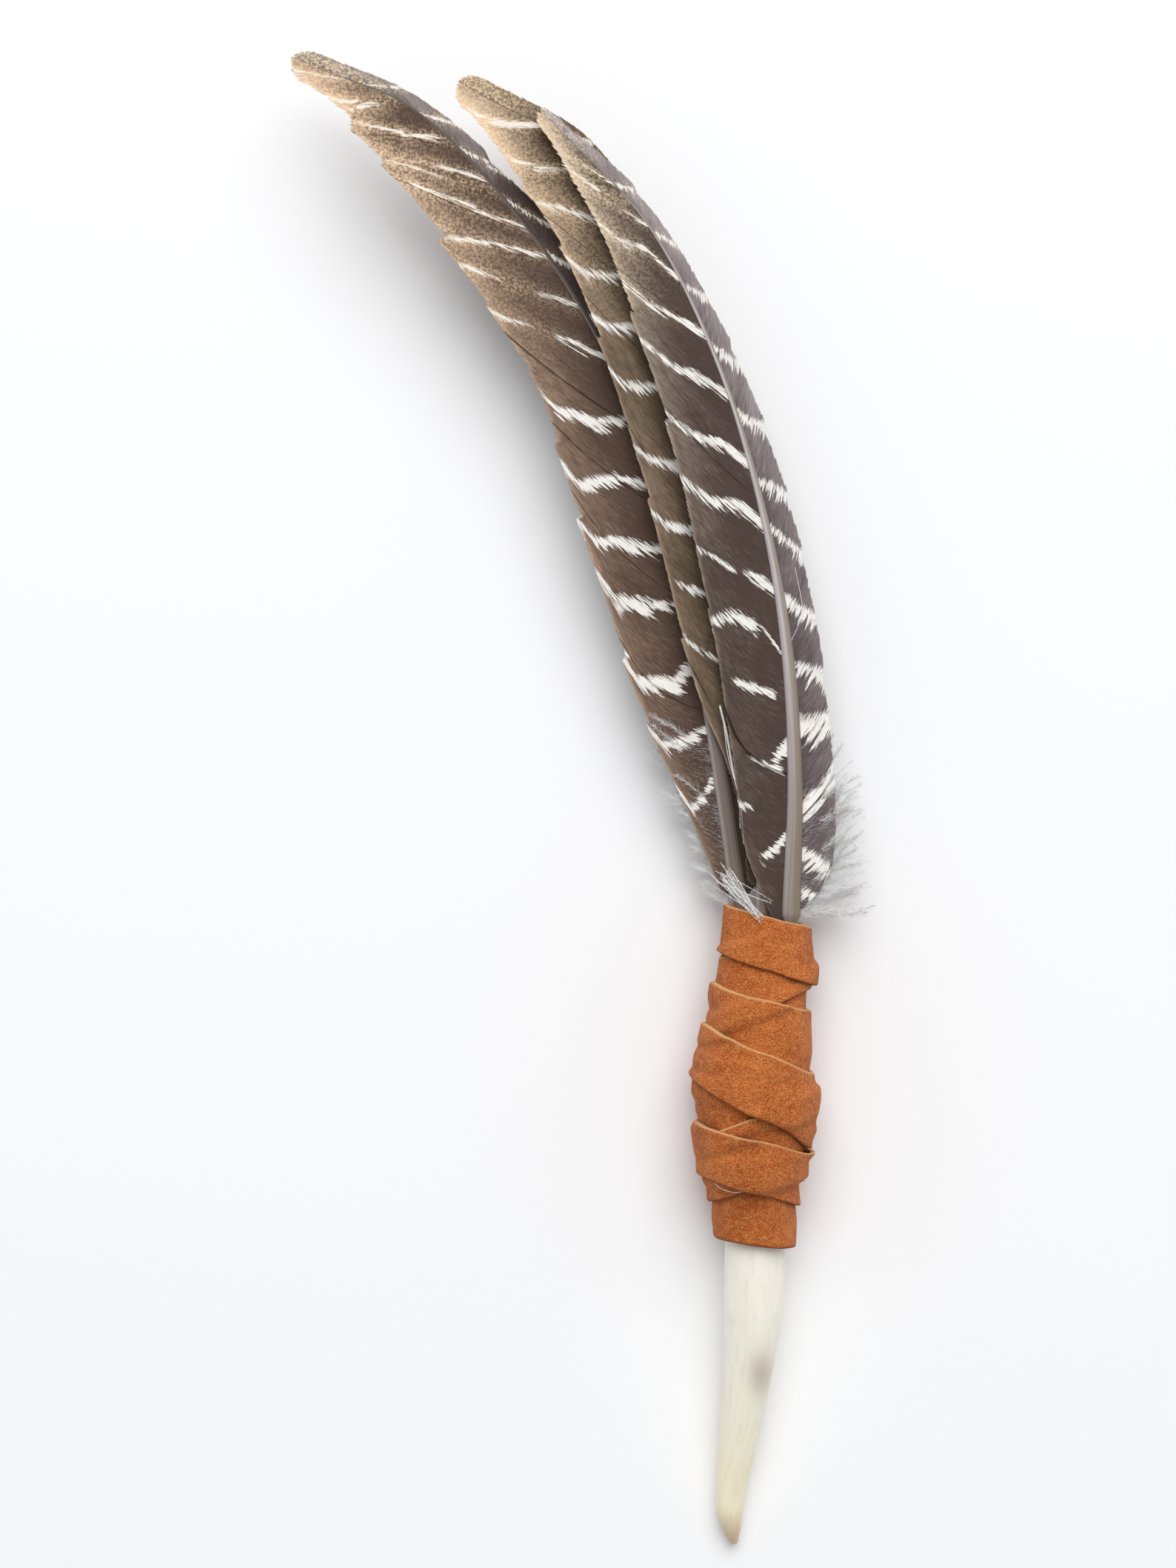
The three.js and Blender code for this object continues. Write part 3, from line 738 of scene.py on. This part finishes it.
def lobes(feather, side):
    """The stretches of vane between splits, each with the split below and above it."""
    splits = sorted(feather.spec["splits"][side])
    edges = [(feather.spec["from"][side], 0), *splits, (feather.length + FAN, 0)]
    return list(zip(edges[:-1], edges[1:]))


def parting(rows, below, above):
    """Degrees that the barbs beside a split turn away from it."""
    return (below[1] * np.exp(-np.abs(rows - below[0]) / PARTING_FADE)
            - above[1] * np.exp(-np.abs(rows - above[0]) / PARTING_FADE))


def bar_level(bars, knees, swell, place, share, rows, rng):
    """1 in the middle of a pale bar, a half at its border and 0 well outside it."""
    barb = barb_number(rows)
    ragged = rng.uniform(-1, 1, barb.max() + 2)[barb][:, None]
    strength = rng.uniform(0.85, 1.1, barb.max() + 2)[barb][:, None]
    waver = waves(place, (13.0, 7.0), rng)
    total = np.zeros_like(place)
    for *line, begin, end, usual in bars:
        fray = 0.65 * usual * ragged
        width = usual * np.interp(share, (0, 1), swell) + fray
        centre = np.interp(share, knees, line) - 0.4 * fray + 0.12 * usual * waver
        slope = 0.85 / (usual / 2 + 0.9)
        level = np.clip(0.5 + slope * (width / 2 - np.abs(place - centre)), 0, 1) * strength
        if begin > 0:
            level = level * smoothstep(begin - 0.12, begin + 0.08, share)
        if end < 1:
            level = level * (1 - smoothstep(end - 0.08, end + 0.12, share))
        total = np.maximum(total, level)
    return total


def halo(bars, knees, place, share):
    """How close a point is to a pale bar, over a wide reach."""
    total = np.zeros_like(place)
    for *line, _, _, _ in bars:
        away = place - np.interp(share, knees, line)
        total = np.maximum(total, np.exp(-(away / HALO) ** 2))
    return total


def inner_tone(name, part, share, near, tip, tan):
    """Shade and speckle of a wide vane: dark by the shaft, paler to its edge and tip; the
    darkening and paling are partly the barbs' own colour, partly painted shade and painted light.
    """
    # How much paler towards the edge: partly own colour, partly painted shade by the shaft under
    # the feather above and painted light on the upturned edge.
    edge = {"left": 0.34 - 0.2 * tan, "middle": 0.26,
            "right": 0.12 + 0.18 * smoothstep(0.3, 0.7, part)}[name]
    # A pale line along the edge: partly a pale fringe, partly painted highlight on the curled
    # edge.
    fringe_and_highlight = smoothstep(0.94, 1, share)
    shade = 0.03 + edge * share ** 2.2 + 0.14 * fringe_and_highlight + 0.52 * tip
    shade = shade + 0.26 * tan * share ** 1.3 + 0.16 * tan * near
    return shade, tan * np.clip(0.02 + 0.66 * share ** 1.4 + 0.5 * near + 0.6 * tip, 0, 1)


def outer_tone(name, part, share, near, tip, tan):
    """Shade and speckle of a narrow vane, which is greyer and paler towards its edge and upper
    part: partly its own grey, partly painted light where the thin vane is lit through and catches
    a sheen.
    """
    # Painted light: the paler grey parts stand in part for light through the thin vane and its
    # sheen.
    grey = {"left": smoothstep(0.76, 0.82, part) * (1 - 0.6 * tip),
            "middle": 0.35, "right": 1}[name]
    shade = 0.06 + 0.22 * share * grey + 0.24 * grey * smoothstep(0.2, 0.8, part)
    return shade + 0.22 * tip, np.clip(1.2 * tip + 0.6 * tan * near, 0, 1)


def tone(feather, side, place, share, near):
    """Shade from dark to light, partly the barbs' own colour and partly painted shade and light,
    and how strongly the barbs are speckled with tan.
    """
    part = place / feather.length
    tip = smoothstep(0.9, 1.02, part)
    tan = smoothstep(*TAN[feather.name], part)
    side_tone = inner_tone if side == "inner" else outer_tone
    return side_tone(feather.name, part, share, near, tip, tan)


def sheet(points, columns):
    """Both faces of a thin sheet, with a ridge along each barb and a saw edge."""
    crest = (np.arange(len(points)) % 2)[:, None]
    points[:, :, 2] += RIDGE * (crest - 0.5)
    pull = SERRATION * (1 - crest) * smoothstep(0.85, 1, columns)
    back = points[:, -2:-1, :] - points[:, -1:, :]
    back = back / (np.linalg.norm(back, axis=2, keepdims=True) + 1e-6)
    points = points + back * pull[:, :, None]
    half = SHEET / 2 * (1.25 - columns)[:, None] * (0, 0, 1)
    return np.hstack([points + half, (points - half)[:, ::-1]])


def lobe(shell, feather, side, below, above):
    """Adds the stretch of vane between two splits."""
    last = above[0] + OVERLAP * (above[0] < feather.length)
    rows = np.linspace(below[0], last, max(int((last - below[0]) / ROW), 2) + 1)
    columns = np.linspace(0, 1, COLUMNS)
    place, beside, out = feather.barbs(side, rows, columns, parting(rows, below, above))
    share = np.clip(beside / np.maximum(feather.width(side, place), 0.5), 0, 1)
    points = feather.surface(side, place, beside, share)
    sink = SINK * smoothstep(0, OVERLAP, rows - above[0])
    lift = LIFT * below[1] * np.exp(-(rows - below[0]) / LIFT_FADE)
    points[:, :, 2] += (lift - sink)[:, None] * smoothstep(0, 0.3, share)
    bars = BARS[feather.name][side]
    kind = feather.name if side == "inner" else "outer"
    shade, speckle = tone(feather, side, place, share, halo(bars, KNEES[kind], place, share))
    rng = np.random.default_rng([SEED, len(side), len(feather.name), int(abs(below[0]))])
    past = np.maximum(rows - feather.length, 0)
    values = {"along": np.repeat((rows + 3 * past)[:, None], COLUMNS, 1), "out": out,
              "shade": shade, "speckle": speckle,
              "bar": bar_level(bars, KNEES[kind], SWELL[kind], place, share, rows, rng)}
    shell.grid(sheet(points, columns),
               **{key: np.hstack([v, v[:, ::-1]]) for key, v in values.items()})


def vane(feather, side, material):
    """A vane as closed lobes of thin sheet, each running on under the next."""
    shell = Shell()
    for below, above in lobes(feather, side):
        lobe(shell, feather, side, below, above)
    name = f"{feather.name}_{side}"
    shell.build(f"{name}_barbs", material, f"{feather.name}_barbs", f"{name}_vane")


def plume_paths(feather, rng):
    """Where the curling plumes at the foot of a feather run, and how long each is."""
    spec = DOWN[feather.name]
    hand = 1 if spec["side"] == "inner" else -1
    count = spec["count"]
    part = rng.random(count)
    where = spec["from"] + (spec["to"] - spec["from"]) * part
    length = np.interp(part, (0, 1), spec["length"]) * rng.uniform(0.7, 1.1, count)
    angle = np.radians(np.interp(part, (0, 1), spec["angle"]) + rng.normal(0, 8, count))
    t = np.linspace(0, 1, PLUME_STEPS)[None, :]
    bend = np.radians(rng.normal(-16, 16, count))[:, None] * t ** 1.5
    bend = bend + 0.2 * np.sin(t * rng.uniform(4, 9, (count, 1)) + rng.uniform(0, 6, (count, 1)))
    ahead = feather.visible.tangent(where)
    heading = np.arctan2(ahead[:, 1], ahead[:, 0])[:, None] + hand * (angle[:, None] + bend)
    step = length[:, None] / (PLUME_STEPS - 1)
    rise = (rng.normal(0.0, 0.08, count)[:, None] + rng.normal(0, 0.12, (count, 1)) * t) * step
    moves = np.stack([np.cos(heading) * step, np.sin(heading) * step, rise], -1)
    paths = feather.visible.at(where)[:, None, :] + np.cumsum(moves, axis=1) - moves[:, :1]
    paths[:, :, 2] += rng.normal(0, 0.5, count)[:, None] * t - spec["drop"] * smoothstep(0, 0.2, t)
    return paths, length


def add_plumes(shell, paths, length, radius, dark, rng, longest):
    """Adds tapering plumes along paths, with their barbules."""
    shell.strands(paths, radius * (1.15 - np.linspace(0, 1, PLUME_STEPS)), dark)
    barbules(shell, paths, length, dark, rng, longest)


def plumes(feather, material):
    """The down at the foot of a feather."""
    paths, length = plume_paths(feather, feather.rng)
    low, high = DOWN[feather.name]["dark"]
    dark = np.clip(feather.rng.uniform(low, high, (len(length), 1)), 0, 1)
    shell = Shell()
    add_plumes(shell, paths, length, PLUME_RADIUS, dark, feather.rng, BARBULE)
    name = f"{feather.name}_down"
    shell.build(name, material, "down", name)


def tuft_paths(rng):
    """Arching paths from the tuft's root to one of its ends."""
    count, spread = TUFT["count"], TUFT["spread"]
    t = np.linspace(0, 1, PLUME_STEPS)[None, :, None]
    root = np.array(TUFT["root"]) + rng.normal(0, 2 * spread, (count, 3)) * (1, 1, 0.4)
    ends = np.array(TUFT["ends"])[rng.integers(0, len(TUFT["ends"]), count)]
    ends = ends + rng.normal(0, spread, (count, 3)) * (1, 1, 0.2)
    sag = rng.normal(0, 0.6, (count, 1, 3)) * (1, 1, 0.3)
    paths = root[:, None, :] * (1 - t) + ends[:, None, :] * t + sag * np.sin(math.pi * t)
    paths[:, :, 2] += 2 * np.sin(math.pi * t[:, :, 0] ** 0.7)
    return paths


def tuft(material):
    """A lock of pale down that lies over the mouth of the wrap, and the loose barbs."""
    rng = np.random.default_rng([SEED, 90])
    count = TUFT["count"]
    paths = tuft_paths(rng)
    dark = rng.uniform(-0.3, 0.25, (count, 1)).clip(0, 1)
    shell = Shell()
    length = np.full(count, TUFT["length"])
    add_plumes(shell, paths, length, STRAY_RADIUS, dark, rng, TUFT["barbule"])
    for points, number in STRAYS:
        route = Route(points)
        shift = rng.normal(0, 0.3, (number, 1, 3)) * (1, 1, 0.3) * (number > 1)
        shell.strands(route.at(np.linspace(0, route.length, 30)) + shift, STRAY_RADIUS, 0)
    shell.build("middle_down", material, "down", "middle_down")


def barbules(shell, paths, length, dark, rng, longest):
    """Fine hairs on both sides of every plume."""
    marks = np.linspace(0, 1, paths.shape[1])
    t = np.linspace(0, 1, 3)
    for path, reach, darkness in zip(paths, length, dark[:, 0]):
        number = 2 * int(reach / BARBULE_STEP)
        place = rng.uniform(0.04, 1, number)
        slopes = np.gradient(path, axis=0)
        root, along = (np.stack([np.interp(place, marks, line[:, k]) for k in range(3)], -1)
                       for line in (path, slopes))
        heading = np.arctan2(along[:, 1], along[:, 0])
        side = np.where(np.arange(number) % 2 == 0, 1, -1)
        heading = heading + side * np.radians(rng.normal(46, 18, number))
        size = longest * (1.05 - 0.5 * place) * rng.uniform(0.6, 1.2, number)
        size = size * rng.uniform(0.7, 1.2)
        curve = heading[:, None] - side[:, None] * 0.5 * t
        rise = np.repeat(rng.normal(0, 0.35, (number, 1)), 3, axis=1)
        ends = np.stack([np.cos(curve), np.sin(curve), rise], -1)
        hairs = root[:, None, :] + ends * (size[:, None] * t)[:, :, None]
        shell.strands(hairs, BARBULE_RADIUS * (1.1 - t), darkness)


def rod(centre, ahead, wide, high):
    """Rings of points round a line, at distances across it and over it."""
    across = np.column_stack([ahead[:, 1], -ahead[:, 0], 0 * ahead[:, 0]])
    across /= np.linalg.norm(across, axis=1, keepdims=True)
    up = np.cross(across, ahead)
    return (centre[:, None, :] + wide[:, :, None] * across[:, None, :]
            + high[:, :, None] * up[:, None, :])


def rachis(feather, material):
    """The quill and rachis, with the groove down its upper side."""
    steps, sides = 260, 24
    distance = np.linspace(0, feather.whole.length, steps)
    part = distance - feather.hidden
    radius = np.where(part < 0, QUILL_RADIUS, feather.radius(part))
    angle = (np.arange(sides) + 0.5) / sides * 2 * math.pi
    x, z = np.cos(angle), np.sin(angle)
    groove = GROOVE * np.exp(-((x - 0.12) / 0.2) ** 2) * (z > 0)
    scale = 1 - smoothstep(0, 20, part)[:, None] * groove
    wide = radius[:, None] * x
    high = radius[:, None] * QUILL_FLATNESS * z * scale
    points = rod(feather.whole.at(distance), feather.whole.tangent(distance), wide, high)
    begin, end, most = QUILL_DUSK[feather.name]
    dusk = most * smoothstep(begin, end, part)[:, None]
    shell = Shell()
    shell.grid(points, around=x, along=distance[:, None], dusk=dusk)
    shell.build(f"{feather.name}_rachis", material, "quill", f"{feather.name}_shaft")


# ======== Wrap ========

GRID_TURN = 300       # cells round the core
GRID_STEP = 0.4       # millimetres along it per cell
GRID_TOP, GRID_END = 8.0, -98.0


def core_surface(angle, y, lift):
    """Points round the bound core, raised outwards by lift but never below the table."""
    table = np.array(CORE)[::-1]
    x, underside, half_width, half_height = (
        np.interp(y, table[:, 0], table[:, k]) for k in (1, 2, 3, 4))
    power = 2 / CORE_SQUARENESS
    cos, sin = np.cos(angle), np.sin(angle)
    across = np.sign(cos) * np.abs(cos) ** power * (half_width + lift)
    up = np.sign(sin) * np.abs(sin) ** power * (half_height + lift)
    height = np.maximum(underside + CORE_FLAT * half_height + up, underside - lift)
    return np.stack([x + across, y, np.maximum(height, 0.05)], -1)


def neighbours(field):
    return [np.roll(field, step, axis) for axis in (0, 1) for step in (1, -1)]


def soften(field, reach):
    """Spreads the high places by reach cells, then smooths the steps."""
    for _ in range(reach):
        field = np.maximum.reduce([field, *neighbours(field)])
    for _ in range(reach):
        field = sum(neighbours(field), field * 2) / 6
    return field


def read_field(field, angle, y):
    """Bilinear reading of a field over angle and height."""
    a = (angle / (2 * math.pi) % 1) * GRID_TURN
    b = np.clip((GRID_TOP - y) / GRID_STEP, 0, field.shape[1] - 1.001)
    i, j = np.floor(a).astype(int), np.floor(b).astype(int)
    fa, fb = a - i, b - j
    i, k = i % GRID_TURN, (i + 1) % GRID_TURN
    return ((field[i, j] * (1 - fb) + field[i, j + 1] * fb) * (1 - fa)
            + (field[k, j] * (1 - fb) + field[k, j + 1] * fb) * fa)


def band_edges(angle, top, bottom, rng):
    """Where a band's two edges run round the core, from its left side to its right."""
    rightness = (1 + np.cos(angle)) / 2
    turns = angle / (2 * math.pi)
    high = top[0] + (top[1] - top[0]) * rightness
    high = high + EDGE_WAVER * waves(turns, (1.0, 0.5, 0.2), rng)
    low = bottom[0] + (bottom[1] - bottom[0]) * rightness
    return high, low + EDGE_WAVER * waves(turns, (1.0, 0.5, 0.25), rng)


def wrap(material):
    """Winds the bands in order of layer, each draped over what lies under it."""
    angles = np.arange(GRID_TURN) / GRID_TURN * 2 * math.pi
    levels = np.arange(GRID_TOP, GRID_END, -GRID_STEP)
    field = np.zeros((GRID_TURN, len(levels)))
    order = sorted(range(len(BANDS)), key=lambda i: BANDS[i][2])
    for number in order:
        top, bottom, _ = BANDS[number]
        rng = np.random.default_rng([SEED, 40 + number])
        high, low = band_edges(angles, top, bottom, rng)
        under = soften(field, DRAPE)
        band(number + 1, angles, high, low, under, material)
        covered = (levels <= high[:, None]) & (levels >= low[:, None])
        field = np.where(covered, under + STRIP, field)


def band(number, angles, high, low, under, material):
    """One turn of the strip: a dented sheet with rounded edges, draped over the core."""
    across = np.concatenate([[0, 0.012], np.linspace(0.04, 0.96, 20), [0.988, 1]])
    edge = np.clip(np.minimum(across, 1 - across) / 0.04, 0, 1)
    y = high[:, None] + (low - high)[:, None] * across
    angle = angles[:, None] + 0 * y
    inside = read_field(under, angle, y) + 0.03
    place = core_surface(angle, y, inside)
    dents = np.array([[noise.noise(Vector(p) * 0.22 + Vector((0, 0, number)))
                       for p in row] for row in place])
    outside = inside + STRIP * (0.8 + 0.2 * np.sqrt(edge)) + DENT * dents
    outer = core_surface(angle, y, outside)
    inner = core_surface(angle, y, inside)
    sections = np.concatenate([outer, inner[:, ::-1]], axis=1)
    border = 1 - np.clip(edge * 1.2, 0, 1)
    # The pale cut edge runs along the top; the lower edge gets painted shadow of the gap under it.
    cut, hem = border * (across < 0.5), 0.7 * border * (across > 0.5)
    shell = Shell()
    shell.grid(sections, looped=True, cut=np.append(cut, cut[::-1]), hem=np.append(hem, hem[::-1]))
    shell.build(f"suede_band_{number}", material, "suede", f"suede_turn_{number}")


# ======== Antler ========

def lumps(angles, distances, around, along):
    """Smooth noise over a rod, of the given frequencies round it and along it."""
    return np.array([[noise.noise(Vector((math.cos(a) * around, math.sin(a) * around, d * along)))
                      for a in angles] for d in distances])


def antler(material):
    """The tine: a curved, tapering rod with lumps, fine grooves and a stain."""
    steps, sides = 220, 72
    table = np.array(ANTLER)
    route = Route(table[:, :3])
    marks = np.interp(-table[:, 1], -route.points[:, 1], route.marks)
    distance = route.length * (1 - (1 - np.linspace(0, 1, steps)) ** 1.3)
    radius = np.interp(distance, marks, table[:, 3])
    for _ in range(12):
        radius[1:-1] = (radius[:-2] + radius[1:-1] * 2 + radius[2:]) / 4
    centre = route.at(distance)
    angle = (np.arange(sides) + 0.5) / sides * 2 * math.pi
    swells, grooves = lumps(angle, distance, 2, 0.035), lumps(angle, distance, 7, 0.012)
    full = radius[:, None] + (0.25 * swells + 0.07 * grooves) * (radius / 8)[:, None]
    points = rod(centre, route.tangent(distance), -full * np.cos(angle), full * np.sin(angle))
    away = (points[:, :, :2] - STAIN_PLACE) / STAIN_SIZE
    stain = np.exp(-away[:, :, 1] ** 2) * np.exp(-away[:, :, 0] ** 2)
    stain = stain * (points[:, :, 2] > centre[:, 2:3])
    shell = Shell()
    shell.grid(points, around=angle / math.pi - 1, along=-centre[:, 1:2], stain=stain)
    shell.build("antler_handle", material, "antler", "antler_tine")


# ======== Stage ========

def stage():
    lo, hi = cad_bounds
    bpy.ops.mesh.primitive_plane_add(size=FLOOR_SIZE, location=((lo.x + hi.x) / 2, 0, lo.z))
    floor = bpy.context.object
    floor.name = "floor"
    floor.data.materials.append(floor_material())


def lights():
    """An even pale sky, and a wide lamp from beyond the feather tips."""
    world = bpy.data.worlds.new("soft_white")
    world.use_nodes = True
    sky = world.node_tree.nodes["Background"]
    sky.inputs["Color"].default_value = SKY_COLOUR
    sky.inputs["Strength"].default_value = SKY_STRENGTH
    bpy.context.scene.world = world
    data = bpy.data.lights.new("key", "AREA")
    data.shape = "DISK"
    data.size = KEY_SIZE
    data.energy = KEY_POWER
    key = bpy.data.objects.new("key", data)
    key.location = KEY_PLACE
    key.rotation_euler = (-Vector(KEY_PLACE)).to_track_quat("-Z", "Y").to_euler()
    show(key)
    bpy.context.scene.view_settings.view_transform = "Standard"


def camera():
    """Looks straight down, with a long lens."""
    data = bpy.data.cameras.new("camera")
    data.lens = CAMERA_LENS
    data.sensor_width = CAMERA_SENSOR
    eye = bpy.data.objects.new("camera", data)
    eye.location = (np.array(CAMERA_PLACE) + MOUTH) * MM
    data.clip_start, data.clip_end = 0.01, 20
    show(eye)
    bpy.context.scene.camera = eye


# ======== The whole fan ========

camera()
lights()
stage()

feathers = {name: Feather(name) for name in FEATHERS}
for name, feather in feathers.items():
    rachis(feather, quill_material(f"{name}_quill", *QUILL_TONES[name]))
    for side in ("inner", "outer"):
        vane(feather, side, barb_material(f"{name}_{side}", *TONES[name][side]))

fluff = down_material()
for name in DOWN:
    plumes(feathers[name], fluff)
tuft(fluff)

wrap(suede_material())
antler(antler_material())
frame["nodes"]["glue_bed"].data.materials.clear()
frame["nodes"]["glue_bed"].data.materials.append(glue_material())
